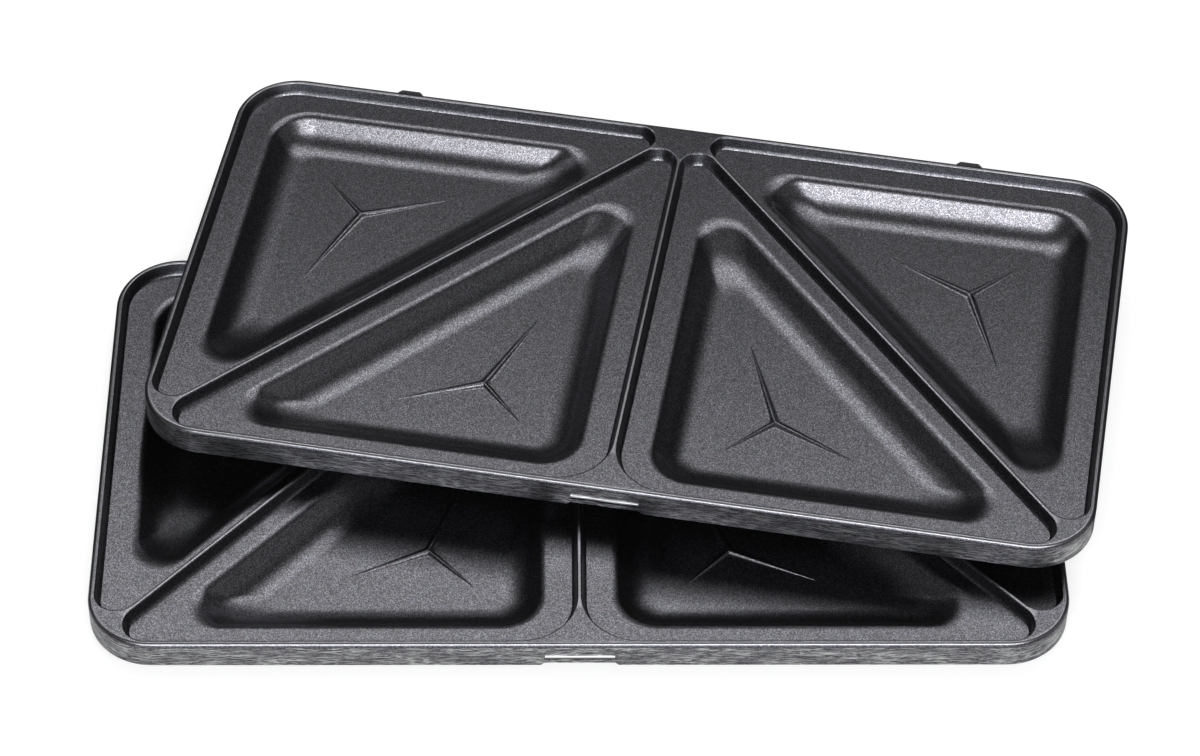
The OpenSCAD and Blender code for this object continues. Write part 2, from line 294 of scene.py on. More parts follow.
INNER_FOOT_R = 0.3
EDGE_STEPS = 12
FOOT_STEPS = 8
INNER_FOOT_STEPS = 4
skirt_section = [(EDGE_R + FLAT_BAND, 0)]
skirt_section += [
    (EDGE_R * (1 - math.sin(a)), EDGE_R * (1 - math.cos(a))) for a in steps(0, math.pi / 2, EDGE_STEPS)
]
skirt_section += [
    (FOOT_R * (1 - math.sin(a)), SKIRT_H - FOOT_R * (1 + math.cos(a)))
    for a in steps(math.pi / 2, math.pi, FOOT_STEPS)
]
skirt_section += [
    (SKIRT_T - INNER_FOOT_R * (1 - math.sin(a)), SKIRT_H - INNER_FOOT_R * (1 - math.cos(a)))
    for a in steps(0, math.pi / 2, INNER_FOOT_STEPS)
]
skirt_inside = SKIRT_T + SKIRT_DRAFT
skirt_section += [(skirt_inside, WEB_BOTTOM), (skirt_inside + FLAT_BAND, WEB_BOTTOM)]
print("levels: underside", len(under_section), "skirt", len(skirt_section))

# %% [markdown]
# ## The star on each basin floor
# Three thin ribs meet at the middle of each floor and taper away towards its
# corners. Such a rib is hard to carve and easy to weave: between the crest line and
# the foot line of one arm's side, points are spread across and along, and a smooth
# profile gives the height. Crest and foot are rounded, so each side of the rib
# shows thin dark and bright lines, as the photograph does.

# %% The star
STAR_W = 3.1
STAR_SLOPE = math.radians(46)
STAR_H = STAR_W / 2 * math.tan(STAR_SLOPE / 2)
STAR_REACH = (0.40, 0.325, 0.345)
STAR_TAPER = 0.7
STAR_ALONG = 16
STAR_ACROSS = 12
STAR_CREST = 0.35


def rib_profile(t):
    """Share of a rib's height from its crest, t = 0, to its foot, t = 1.

    One arc rolls over the crest and a wider one runs out at the foot.
    """
    radius_per_run = 1 / math.sin(STAR_SLOPE)
    drop_per_run = math.tan(STAR_SLOPE / 2)
    if t < STAR_CREST:
        crest_r = radius_per_run * STAR_CREST
        return 1 - (crest_r - math.sqrt(crest_r * crest_r - t * t)) / drop_per_run
    foot_r = radius_per_run * (1 - STAR_CREST)
    return (foot_r - math.sqrt(foot_r * foot_r - (1 - t) ** 2)) / drop_per_run


def star_outline(pocket):
    """Middle, arm tips and valleys of a pocket's star, in plan."""
    corners = [inset_corner(pocket["corners"], pocket["basin_insets"], i) for i in range(3)]
    opposite = [(corners[(i + 2) % 3] - corners[(i + 1) % 3]).length for i in range(3)]
    middle = sum((corners[i] * opposite[i] for i in range(3)), Vector((0, 0))) / sum(opposite)
    tips = [middle + reach * (corner - middle) for reach, corner in zip(STAR_REACH, corners)]
    valleys = [middle - STAR_W / 2 * inward(pocket["corners"], i) for i in range(3)]
    return middle, tips, valleys


print("rib heights across:", [round(rib_profile(t), 2) for t in steps(0, 1, 5)])

# %% [markdown]
# ## Weaving the plate
# The plate is woven from rings, not carved from a block: bands of faces join each
# ring to the next, and the flat regions between rings are filled at the end. That
# gives even bands that follow every fillet. A carved block would have ragged
# triangles exactly where the light shows them most.

# %% Weaving helpers
def add_ring(mesh, points, mirror):
    """Adds a ring of points. A mirrored ring runs the other way, so it still faces up."""
    if mirror:
        points = [Vector((-p.x, p.y, p.z)) for p in reversed(points)]
    return [mesh.verts.new(p) for p in points]


def band(mesh, upper, lower):
    """Joins two rings of equal length with four-sided faces."""
    count = len(upper)
    for i in range(count):
        j = (i + 1) % count
        mesh.faces.new((upper[i], upper[j], lower[j], lower[i]))


def weave(mesh, rings):
    """Joins each ring to the next, on a wall that faces the inside of its rings."""
    for upper, lower in zip(rings, rings[1:]):
        band(mesh, upper, lower)


def weave_outside(mesh, rings):
    """Joins each ring to the next, on a wall that faces away from its rings."""
    for upper, lower in zip(rings, rings[1:]):
        band(mesh, lower, upper)


def face_upward(mesh, corners):
    """Adds one face and turns it so that it faces up."""
    face = mesh.faces.new(corners)
    face.normal_update()
    if face.normal.z < 0:
        face.normal_flip()


def fill_flat(mesh, rings, up):
    """Fills the flat region between closed rings, one of which surrounds the others."""
    edges = []
    for ring in rings:
        for i, vert in enumerate(ring):
            other = ring[(i + 1) % len(ring)]
            edges.append(mesh.edges.get((vert, other)) or mesh.edges.new((vert, other)))
    made = bmesh.ops.triangle_fill(mesh, edges=edges, use_beauty=True, normal=Vector((0, 0, up)))
    for item in made["geom"]:
        if isinstance(item, bmesh.types.BMFace) and item.normal.z * up < 0:
            item.normal_flip()


print("weaving helpers are ready")

# %% [markdown]
# A star is woven arm by arm, in columns of points from the crest line out to the
# foot line. A pocket is its recess, its basin and the star above, and the basin's
# underside below. The plate is its skirt and four pockets, joined by the flat tops
# of the rim and ridges above and by the flat web below.

# %% Weave the plate
def weave_star(mesh, pocket, mirror):
    """Adds the star's ribs to the mesh and returns the ring of its foot."""
    middle, tips, valleys = star_outline(pocket)
    side = -1 if mirror else 1

    def vert(at, share):
        """A point of the star: its place in plan and its share of the star's height."""
        return mesh.verts.new((side * at.x, at.y, -RECESS_DEPTH - BASIN_DEPTH + STAR_H * share))

    peak = vert(middle, 1)
    tip_verts = [vert(tip, 0) for tip in tips]
    left = [(1 - k / STAR_ALONG) ** STAR_TAPER for k in range(STAR_ALONG)]
    crests = [
        [peak] + [vert(middle.lerp(tip, k / STAR_ALONG), left[k]) for k in range(1, STAR_ALONG)]
        for tip in tips
    ]
    across = [m / STAR_ACROSS for m in range(1, STAR_ACROSS + 1)]
    spokes = [
        [peak] + [vert(middle.lerp(valley, t), rib_profile(t)) for t in across]
        for valley in valleys
    ]

    foot = {}
    for i in range(3):
        for valley_index in (i, (i + 2) % 3):
            columns = [spokes[valley_index]]
            for k in range(1, STAR_ALONG):
                crest_at = middle.lerp(tips[i], k / STAR_ALONG)
                foot_at = crest_at + left[k] * (valleys[valley_index] - middle)
                columns.append([crests[i][k]] + [
                    vert(crest_at.lerp(foot_at, t), left[k] * rib_profile(t)) for t in across
                ])
            for near, far in zip(columns, columns[1:]):
                for m in range(STAR_ACROSS):
                    face_upward(mesh, [near[m], far[m], far[m + 1], near[m + 1]])
            for m in range(STAR_ACROSS):
                face_upward(mesh, [columns[-1][m], tip_verts[i], columns[-1][m + 1]])
            foot[i, valley_index] = [column[-1] for column in columns]
    ring = []
    for i in range(3):
        ring += foot[i, (i + 2) % 3] + [tip_verts[i]] + foot[i, i][:0:-1]
    return ring


def weave_pocket(mesh, pocket, mirror):
    """One pocket above and below. Returns its crest ring and the ring where it leaves the web."""
    recess = [
        add_ring(mesh, rounded_triangle(
            pocket["corners"],
            [inset + run for inset in pocket["recess_insets"]],
            [radius - run for radius in pocket["recess_radii"]],
            -depth,
        ), mirror)
        for run, depth in recess_section
    ]

    def basin_ring(run, depth):
        """A ring of the basin, whose corners tighten towards the floor."""
        return add_ring(mesh, rounded_triangle(
            pocket["corners"],
            [inset + run for inset in pocket["basin_insets"]],
            [radius + (FLOOR_CORNER_R - radius) * run / BASIN_RUN for radius in pocket["basin_radii"]],
            -RECESS_DEPTH - depth,
        ), mirror)

    basin = [basin_ring(run, depth) for run, depth in basin_section]
    weave(mesh, recess + basin)
    star = weave_star(mesh, pocket, mirror)
    fill_flat(mesh, [basin[-1], star], 1)

    under = [basin_ring(run, depth) for run, depth in under_section]
    weave_outside(mesh, under)
    mesh.faces.new(list(reversed(under[-1])))
    return recess[0], under[0]


def woven_plate():
    """The plate's mesh in its own frame: rim at height 0, middle at the origin, millimetres."""
    mesh = bmesh.new()
    skirt = [add_ring(mesh, rounded_rectangle(inset, -depth), False) for inset, depth in skirt_section]
    weave_outside(mesh, skirt)
    crests, webs = [skirt[0]], [skirt[-1]]
    for mirror in (False, True):
        for pocket in (OUTER_POCKET, INNER_POCKET):
            crest, web = weave_pocket(mesh, pocket, mirror)
            crests.append(crest)
            webs.append(web)
    fill_flat(mesh, crests, 1)
    fill_flat(mesh, webs, -1)
    bmesh.ops.recalc_face_normals(mesh, faces=mesh.faces)
    return mesh


CUBIC_CM = 1000
plate = woven_plate()
print("woven plate:", len(plate.faces), "faces,", sum(not edge.is_manifold for edge in plate.edges),
      "open edges,", round(plate.calc_volume() / CUBIC_CM, 2), "cm3")

# %% [markdown]
# ## Tabs, catch slot and rod seat
# Two tabs stand out behind, a block under the web holds the catch slot, a notch
# frees the catch below it, and a round seat for the heating rod crosses the basin
# undersides. These are machined or cored shapes with crisp edges, so here a
# boolean is the right tool: the manifold solver adds or cuts each closed shape and
# leaves the woven bands round it alone.

# %% Sizes of the added and cut shapes
TAB_PITCH = 150
TAB_W = 6.8
TAB_T = 2.4
TAB_DROP = 3.5
TAB_CHAMFER = 1.0
TAB_EDGE_R = 0.3
SLOT_W = 16.9
SLOT_H = 1.4
SLOT_DEEP = 4.4
SLOT_DROP = 3.9
SLOT_WALL = 2.0
NOTCH_H = 1.1
ROD_R = 3.3
ROD_SEAT = 1.2
ROD_X, ROD_Y = 84, 33
ROD_BEND_R = 20
ROD_STEPS = 48
OVER = 1.0
BEVEL_SEGMENTS = 3
print("tabs", TAB_PITCH, "mm apart, slot", SLOT_W, "x", SLOT_H, "x", SLOT_DEEP, "mm")

# %% Shapes that are added or cut away
def prism(outline, start, end, place):
    """A straight prism: the outline at two depths, each point set by place(u, v, depth)."""
    mesh = bmesh.new()
    near = [mesh.verts.new(place(u, v, start)) for u, v in outline]
    far = [mesh.verts.new(place(u, v, end)) for u, v in outline]
    band(mesh, near, far)
    mesh.faces.new(list(reversed(near)))
    mesh.faces.new(far)
    bmesh.ops.recalc_face_normals(mesh, faces=mesh.faces)
    return mesh


def round_edges(mesh, edges, radius):
    """Rounds the given edges."""
    bmesh.ops.bevel(
        mesh, geom=edges, offset=radius, segments=BEVEL_SEGMENTS, profile=0.5, affect="EDGES"
    )


def rear_tab(x):
    """A tab with chamfered outer corners and slightly rounded edges."""
    root, tip, half = HALF_D - SKIRT_T / 2, HALF_D + TAB_OUT, TAB_W / 2
    outline = [
        (x - half, root), (x + half, root), (x + half, tip - TAB_CHAMFER),
        (x + half - TAB_CHAMFER, tip), (x - half + TAB_CHAMFER, tip), (x - half, tip - TAB_CHAMFER),
    ]
    mesh = prism(outline, -TAB_DROP - TAB_T, -TAB_DROP, lambda u, v, depth: (u, v, depth))
    outer = [edge for edge in mesh.edges if max(vert.co.y for vert in edge.verts) > root + OVER]
    round_edges(mesh, outer, TAB_EDGE_R)
    return mesh


def catch_block():
    """The block behind the skirt that the catch slot is sunk into."""
    half, low = SLOT_W / 2 + SLOT_WALL, NOTCH_H - SKIRT_H
    root, back = SKIRT_T / 2 - HALF_D, SLOT_DEEP + SLOT_WALL - HALF_D
    outline = [(-half, root), (half, root), (half, back), (-half, back)]
    return prism(outline, low, WALL_T / 2 - WEB_BOTTOM, lambda u, v, depth: (u, v, depth))


def catch_slot():
    """The slot that the cooker's catch slides into."""
    half, mouth, back = SLOT_W / 2, -HALF_D - OVER, SLOT_DEEP - HALF_D
    outline = [(-half, mouth), (half, mouth), (half, back), (-half, back)]
    return prism(outline, -SLOT_DROP - SLOT_H, -SLOT_DROP, lambda u, v, depth: (u, v, depth))


def catch_notch():
    """The notch in the skirt's lower edge below the slot, with slanting ends."""
    half, top, low = SLOT_W / 2, NOTCH_H - SKIRT_H, -SKIRT_H - OVER
    reach = half + NOTCH_H + OVER
    outline = [(-half, top), (half, top), (reach, low), (-reach, low)]
    start, end = -HALF_D - OVER, SKIRT_T + SKIRT_DRAFT + OVER - HALF_D
    return prism(outline, start, end, lambda u, v, depth: (u, depth, v))


def rod_seat():
    """The loop of round heating rod whose upper side presses its seat into the undersides."""
    mesh = bmesh.new()
    centre_z = -PLATE_H - ROD_R + ROD_SEAT
    sections = []
    for quarter, (sx, sy) in enumerate([(1, 1), (-1, 1), (-1, -1), (1, -1)]):
        for k in range(CORNER_STEPS + 1):
            angle = (quarter + k / CORNER_STEPS) * math.pi / 2
            ring = []
            for turn_step in steps(0, 2 * math.pi, ROD_STEPS)[:-1]:
                r = ROD_BEND_R + ROD_R * math.cos(turn_step)
                ring.append(mesh.verts.new((
                    sx * (ROD_X - ROD_BEND_R) + r * math.cos(angle),
                    sy * (ROD_Y - ROD_BEND_R) + r * math.sin(angle),
                    centre_z + ROD_R * math.sin(turn_step),
                )))
            sections.append(ring)
    for near, far in zip(sections, sections[1:] + sections[:1]):
        band(mesh, near, far)
    bmesh.ops.recalc_face_normals(mesh, faces=mesh.faces)
    return mesh


def as_object(name, mesh):
    """A linked object that holds the given bmesh."""
    data = bpy.data.meshes.new(name)
    mesh.to_mesh(data)
    mesh.free()
    made = bpy.data.objects.new(name, data)
    bpy.context.scene.collection.objects.link(made)
    return made


print("shapes are ready")

# %% [markdown]
# The woven plate is the blank. Each shape is added to it or cut from it in turn, and
# what comes out is the blank for the next one.

# %% Add and cut the shapes
blank = as_object("plate_blank", plate)
for operation, shape in (
    ("UNION", rear_tab(-TAB_PITCH / 2)),
    ("UNION", rear_tab(TAB_PITCH / 2)),
    ("UNION", catch_block()),
    ("DIFFERENCE", catch_slot()),
    ("DIFFERENCE", catch_notch()),
    ("DIFFERENCE", rod_seat()),
):
    tool = as_object("tool", shape)
    cut = blank.modifiers.new("cut", "BOOLEAN")
    cut.operation = operation
    cut.solver = "MANIFOLD"
    cut.object = tool
    bpy.context.view_layer.update()
    carved = bpy.data.meshes.new_from_object(blank.evaluated_get(bpy.context.evaluated_depsgraph_get()))
    blank.modifiers.clear()
    blank.data = carved
    bpy.data.objects.remove(tool)
print("carved plate:", len(blank.data.polygons), "faces")

# %% [markdown]
# ## Smooth and sharp edges, and a ruler round the skirt
# Faces are shaded smooth, except across real edges such as the slot's, which are
# marked sharp. The brushed marks run along the skirt and round its corners, so the
# material needs to know how far along the skirt a point is. A UV map gives it that:
# U is the distance along the outline and V is the height, both in millimetres.

# %% Edges, skirt faces and their ruler
SHARP_ANGLE = math.radians(30)
STEEP = 0.5
TINY = 1e-6
PERIMETER = 2 * (PLATE_W + PLATE_D - 4 * CORNER_R) + 2 * math.pi * CORNER_R
COATED, SKIRT = 0, 1


def distance_along(x, y):
    """How far along the outline the nearest point is, anticlockwise from the middle of the back."""
    cx, cy = HALF_W - CORNER_R, HALF_D - CORNER_R
    px, py = max(-cx, min(cx, x)), max(-cy, min(cy, y))
    turned = (math.atan2(y - py, x - px) - math.pi / 2) % (2 * math.pi)
    quarter = int(turned / (math.pi / 2) + TINY) % 4
    straight = (-px, cx + cy - py, 2 * cx + 2 * cy + px, 3 * cx + 3 * cy + py)[quarter]
    return (CORNER_R * turned + straight) % PERIMETER


def outline_gap(x, y):
    """How far inside the plate's outline a point lies."""
    dx, dy = abs(x) - (HALF_W - CORNER_R), abs(y) - (HALF_D - CORNER_R)
    return CORNER_R - (math.hypot(max(dx, 0), max(dy, 0)) + min(max(dx, dy), 0))


finished = bmesh.new()
finished.from_mesh(blank.data)
ruler = finished.loops.layers.uv.new("skirt_ruler")
for edge in finished.edges:
    edge.smooth = edge.is_manifold and edge.calc_face_angle(0) < SHARP_ANGLE
on_skirt = 0
for face in finished.faces:
    face.smooth = True
    middle = face.calc_center_median()
    steep = abs(face.normal.z) < STEEP
    outside = outline_gap(middle.x, middle.y) < FOOT_R and middle.z < -EDGE_R and steep
    face.material_index = SKIRT if outside else COATED
    on_skirt += outside
    runs = [distance_along(loop.vert.co.x, loop.vert.co.y) for loop in face.loops]
    if max(runs) - min(runs) > PERIMETER / 2:
        runs = [run + PERIMETER if run < PERIMETER / 2 else run for run in runs]
    for loop, run in zip(face.loops, runs):
        loop[ruler].uv = (run, loop.vert.co.z)
finished.transform(Matrix.Scale(MM, 4))
open_edges = sum(not edge.is_manifold for edge in finished.edges)
plate_data = bpy.data.meshes.new("plate")
finished.to_mesh(plate_data)
finished.free()
bpy.data.objects.remove(blank)
print("finished plate:", len(plate_data.polygons), "faces,", on_skirt, "on the skirt,",
      open_edges, "open edges")

# %% [markdown]
# ## Shared effects
# Two effects are used more than once, so each is a node group: a fine grain, which
# the coating and the skirt share, and brushed marks, which the skirt lays twice with
# different strokes. A group only makes values that change over the surface. The
# shader itself stays in each material.

# %% Helpers for node groups
def feed(tree, socket, value):
    """Gives a socket a plain number, or links another node's output to it."""
    if isinstance(value, (int, float)):
        socket.default_value = value
    else:
        tree.links.new(value, socket)


def new_group(name, inputs, outputs):
    """An empty shader group with named float sockets, and its input and output nodes."""
    group = bpy.data.node_groups.new(name, "ShaderNodeTree")
    for socket_name, value in inputs.items():
        socket = group.interface.new_socket(socket_name, in_out="INPUT", socket_type="NodeSocketFloat")
        socket.default_value = value
    for socket_name in outputs:
        group.interface.new_socket(socket_name, in_out="OUTPUT", socket_type="NodeSocketFloat")
    return group, group.nodes.new("NodeGroupInput"), group.nodes.new("NodeGroupOutput")


def math_node(tree, operation, a, b):
    """One math node. Each operand is a number or an output socket."""
    made = tree.nodes.new("ShaderNodeMath")
    made.operation = operation
    for socket, value in zip(made.inputs, (a, b)):
        feed(tree, socket, value)
    return made.outputs[0]


def spread(tree, value, low, high, to_low=0.0, to_high=1.0):
    """Maps a value from one range to another, clamped."""
    made = tree.nodes.new("ShaderNodeMapRange")
    ends = {"Value": value, "From Min": low, "From Max": high, "To Min": to_low, "To Max": to_high}
    for socket_name, given in ends.items():
        feed(tree, made.inputs[socket_name], given)
    return made.outputs["Result"]


def noise(tree, vector, scale, detail, roughness=0.5):
    """A noise texture on the given coordinates."""
    made = tree.nodes.new("ShaderNodeTexNoise")
    for socket_name, given in {
        "Vector": vector, "Scale": scale, "Detail": detail, "Roughness": roughness
    }.items():
        feed(tree, made.inputs[socket_name], given)
    return made.outputs["Fac"]


def plate_place(tree):
    """Coordinates that belong to the plate itself, in metres, wherever the plate lies."""
    made = tree.nodes.new("ShaderNodeAttribute")
    made.attribute_name = "on_plate"
    return made.outputs["Vector"]


print("helpers for groups are ready")

# %% [markdown]
# The real coating carries fine flakes of many tones. Noise would give soft clouds. A
# Voronoi texture splits the surface into cells and gives each its own flat random
# colour, as flakes have, and one channel of that colour is the grain's level.

# %% The grain group
def make_grain_group():
    """Fine grains, each with its own random level. Size is in millimetres."""
    group, given, result = new_group("fine grain", {"Size": 0.3}, ["Grain"])
    cells = group.nodes.new("ShaderNodeTexVoronoi")
    group.links.new(plate_place(group), cells.inputs["Vector"])
    group.links.new(math_node(group, "DIVIDE", 1 / MM, given.outputs["Size"]), cells.inputs["Scale"])
    level = group.nodes.new("ShaderNodeSeparateXYZ")
    group.links.new(cells.outputs["Color"], level.inputs[0])
    group.links.new(level.outputs["X"], result.inputs["Grain"])
    return group


grain_group = make_grain_group()
print("group:", grain_group.name)

# %% [markdown]
# The real skirt was brushed, which left long fine scratches. Here noise on the
# skirt's own ruler is stretched along it, so the marks follow the corners without a
# seam. Two layers slant against each other, and large patches fade them in places.

# %% The brushed marks group
MARK_RANGE = (0.55, 0.68)
PATCH_LENGTH = 16.0
PATCH_HEIGHT = 3.0
PATCH_RANGE = (0.36, 0.6)


def make_marks_group():
    """Fine crossing marks along the skirt.

    Length and Width are in millimetres, Slant is rise per run, and Patches is how much
    the marks fade in places.
    """
    group, given, result = new_group(
        "brushed marks", {"Length": 5.0, "Width": 0.3, "Slant": 0.08, "Patches": 1.0}, ["Marks"]
    )
    ruler_map = group.nodes.new("ShaderNodeUVMap")
    ruler_map.uv_map = "skirt_ruler"
    split = group.nodes.new("ShaderNodeSeparateXYZ")
    group.links.new(ruler_map.outputs["UV"], split.inputs[0])
    along, height = split.outputs["X"], split.outputs["Y"]
    layers = []
    for sign in (-1, 1):
        slant = math_node(group, "MULTIPLY", given.outputs["Slant"], sign)
        risen = math_node(group, "ADD", height, math_node(group, "MULTIPLY", along, slant))
        across = math_node(group, "DIVIDE", risen, given.outputs["Width"])
        run = math_node(group, "DIVIDE", along, given.outputs["Length"])
        joined = group.nodes.new("ShaderNodeCombineXYZ")
        for socket_name, value in (("X", run), ("Y", across)):
            group.links.new(value, joined.inputs[socket_name])
        joined.inputs["Z"].default_value = sign
        strokes = noise(group, joined.outputs[0], scale=1.0, detail=2.0, roughness=0.55)
        layers.append(spread(group, strokes, *MARK_RANGE))
    crossed = math_node(group, "MAXIMUM", layers[0], layers[1])
    patch_place = group.nodes.new("ShaderNodeCombineXYZ")
    group.links.new(math_node(group, "DIVIDE", along, PATCH_LENGTH), patch_place.inputs["X"])
    group.links.new(math_node(group, "DIVIDE", height, PATCH_HEIGHT), patch_place.inputs["Y"])
    clouds = noise(group, patch_place.outputs[0], scale=1.0, detail=2.0)
    patches = spread(group, clouds, *PATCH_RANGE)
    faded = spread(group, given.outputs["Patches"], 0.0, 1.0, 1.0, patches)
    group.links.new(math_node(group, "MULTIPLY", crossed, faded), result.inputs["Marks"])
    return group


marks_group = make_marks_group()
print("group:", marks_group.name)

# %% [markdown]
# ## Materials
# Four small helpers do what every material needs: start one with its shader, place
# a group with values of its own, blend two colours, and turn a height into relief.

# %% Helpers for materials
def new_material(name):
    """A material with a Principled shader, ready for its nodes."""
    material = bpy.data.materials.new(name)
    material.use_nodes = True
    return material, material.node_tree, material.node_tree.nodes["Principled BSDF"]


def use_group(tree, group, **values):
    """Places a group in a material with its own values."""
    made = tree.nodes.new("ShaderNodeGroup")
    made.node_tree = group
    for socket_name, value in values.items():
        made.inputs[socket_name].default_value = value
    return made


def colour_between(tree, factor, dark, light):
    """A colour from dark to light by the factor."""
    made = tree.nodes.new("ShaderNodeMix")
    made.data_type = "RGBA"
    tree.links.new(factor, made.inputs["Factor"])
    for socket_name, colour in (("A", dark), ("B", light)):
        socket = next(s for s in made.inputs if s.name == socket_name and s.type == "RGBA")
        if isinstance(colour, tuple):
            socket.default_value = (*colour, 1)
        else:
            tree.links.new(colour, socket)
    return next(s for s in made.outputs if s.type == "RGBA")


def relief(tree, height, depth_mm, shader):
    """Feeds a height into the shader's normal through a Bump node."""
    bump = tree.nodes.new("ShaderNodeBump")
    bump.inputs["Distance"].default_value = depth_mm * MM
    bump.inputs["Strength"].default_value = 1.0
    tree.links.new(height, bump.inputs["Height"])
    tree.links.new(bump.outputs["Normal"], shader.inputs["Normal"])


print("helpers for materials are ready")

# %% [markdown]
# ## The coating and the skirt
# The coating is a dark grey non-stick layer with a fine speckle, matt enough to
# spread every highlight, with a slight orange peel in its relief. A clear plastic
# gloss over a dark colour would look wet, so the shader is metallic with a low
# colour: its highlights are wide and grey, like those of the real coating. Along
# its crests a lighter colour is painted in, as a painted highlight. On the skirt the
# casting was brushed before it was coated, so long fine marks cross each other there.

# %% Coating materials
GRAIN_SIZE = 0.15
COAT_DARK = (0.065, 0.065, 0.069)
COAT_LIGHT = (0.325, 0.322, 0.361)
GRAIN_SKEW = 3.0
COAT_ROUGH = (0.37, 0.31)
COAT_METAL = 1.0
PEEL_SIZE = 0.3
PEEL_DEPTH = 0.0015
# Colour of the painted highlight along the crests, and how far the coating goes towards it.
PAINTED_HIGHLIGHT_COLOUR = (0.36, 0.36, 0.38)
PAINTED_HIGHLIGHT_MOST = 0.5
MARK_LIGHT = (0.78, 0.79, 0.78)
SKIRT_ROUGH = (0.40, 0.30)
SKIRT_RELIEF = 0.02


def speckled(tree):
    """The grain's level, and the coating's colour that follows it."""
    speckle = use_group(tree, grain_group, Size=GRAIN_SIZE).outputs["Grain"]
    glint = math_node(tree, "POWER", speckle, GRAIN_SKEW)
    return speckle, colour_between(tree, glint, COAT_DARK, COAT_LIGHT)


def make_coating():
    """The speckled non-stick coating, with a painted highlight along its crests."""
    material, tree, shader = new_material("non_stick_coating")
    speckle, coat = speckled(tree)
    # Painted highlight: crests marked in the mesh get a lighter colour, which draws their bright lines.
    painted_highlight = tree.nodes.new("ShaderNodeAttribute")
    painted_highlight.attribute_name = "painted_highlight"
    lighter = math_node(tree, "MULTIPLY", painted_highlight.outputs["Fac"], PAINTED_HIGHLIGHT_MOST)
    tree.links.new(colour_between(tree, lighter, coat, PAINTED_HIGHLIGHT_COLOUR), shader.inputs["Base Color"])
    tree.links.new(spread(tree, speckle, 0, 1, *COAT_ROUGH), shader.inputs["Roughness"])
    shader.inputs["Metallic"].default_value = COAT_METAL
    peel = noise(tree, plate_place(tree), scale=1 / (PEEL_SIZE * MM), detail=1.0)
    relief(tree, peel, PEEL_DEPTH, shader)
    return material


def make_skirt_finish():
    """The same coating over a brushed skirt."""
    material, tree, shader = new_material("brushed_skirt")
    strokes = use_group(tree, marks_group, Length=7.0, Width=0.4, Slant=0.09, Patches=0.5)
    dashes = use_group(tree, marks_group, Length=3.0, Width=0.34, Slant=0.16, Patches=0.8)
    marks = math_node(tree, "MAXIMUM", strokes.outputs["Marks"], dashes.outputs["Marks"])
    _, coat = speckled(tree)
    tree.links.new(colour_between(tree, marks, coat, MARK_LIGHT), shader.inputs["Base Color"])
    tree.links.new(spread(tree, marks, 0, 1, *SKIRT_ROUGH), shader.inputs["Roughness"])
    shader.inputs["Metallic"].default_value = COAT_METAL
    relief(tree, marks, SKIRT_RELIEF, shader)
    return material


coating = make_coating()
skirt_finish = make_skirt_finish()
print("materials:", coating.name, skirt_finish.name)

# %% [markdown]
# ## The steel strip
# A strip of bright steel fills the upper half of the catch slot and stands out of
# it a little. It is small, but it is the brightest thing on the plate, so it has
# rounded edges and fine brushing along its length: noise squeezed across the strip.

# %% Steel strip
STRIP_EDGE_R = 0.12
BRUSHING = (100, 8000, 8000)
BRUSHED_RANGE = (0.3, 0.7)
STEEL_DARK = (0.8, 0.8, 0.81)
STEEL_LIGHT = (0.88, 0.88, 0.89)
STEEL_ROUGH = (0.29, 0.33)
STEEL_RELIEF = 0.0003


def strip_mesh():
    """The strip where it sits in its plate, with rounded edges, in metres."""
    low, high = strip_low - LOWER_AT, strip_high - LOWER_AT
    outline = [(low.x, low.y), (high.x, low.y), (high.x, high.y), (low.x, high.y)]
    mesh = prism(outline, low.z, high.z, lambda u, v, depth: (u, v, depth))
    round_edges(mesh, mesh.edges[:], STRIP_EDGE_R)
    for face in mesh.faces:
        face.smooth = True
    mesh.transform(Matrix.Scale(MM, 4))
    data = bpy.data.meshes.new("catch_strip")
    mesh.to_mesh(data)
    mesh.free()
    return data


def make_steel():
    """Bright steel, brushed along the strip."""
    material, tree, shader = new_material("brushed_steel")
    stretch = tree.nodes.new("ShaderNodeMapping")
    stretch.inputs["Scale"].default_value = BRUSHING
    tree.links.new(plate_place(tree), stretch.inputs["Vector"])
    lines = noise(tree, stretch.outputs["Vector"], scale=1.0, detail=3.0)
    tree.links.new(colour_between(tree, lines, STEEL_DARK, STEEL_LIGHT), shader.inputs["Base Color"])
    tree.links.new(spread(tree, lines, *BRUSHED_RANGE, *STEEL_ROUGH), shader.inputs["Roughness"])
    shader.inputs["Metallic"].default_value = 1.0
    relief(tree, lines, STEEL_RELIEF, shader)
    return material


steel = make_steel()
print("material:", steel.name)

# %% [markdown]
# ## Putting the pieces in place
# Both plates and both strips use the same meshes. Each pair is put where the packed
# model has it, rides on its own body, and stands for its imported node. Two things
# are kept on each point of a mesh for its material. One is its place on the plate,
# so that the grain stays on the plate wherever the plate lies. The other says
# whether it is on a crest that gets the painted highlight, which the mesh knows
# exactly and a shader could only guess from the curvature. A modifier weighs the
# normals by the area of the faces, so that a flat face stays flat right up to its fillet.

# %% Place the pieces
# Where the painted highlight goes: a band on the rounding of the outer edge, and the crests of the
# ridges.
PAINTED_EDGE_TOP = -0.005 * EDGE_R
PAINTED_EDGE_LOW = -0.35 * EDGE_R
PAINTED_RIDGE_LOW = -CREST_R / 20
PAINTED_RIDGE_REACH = 0.6 * RIDGE_W
LARGE_FACES_WEIGH = 50
lower_place = Matrix.Translation(LOWER_AT * MM)
upper_place = Matrix.Translation((LOWER_AT + UPPER_SHIFT) * MM) @ Matrix.Rotation(UPPER_TURN, 4, "Z")
strip_data = strip_mesh()


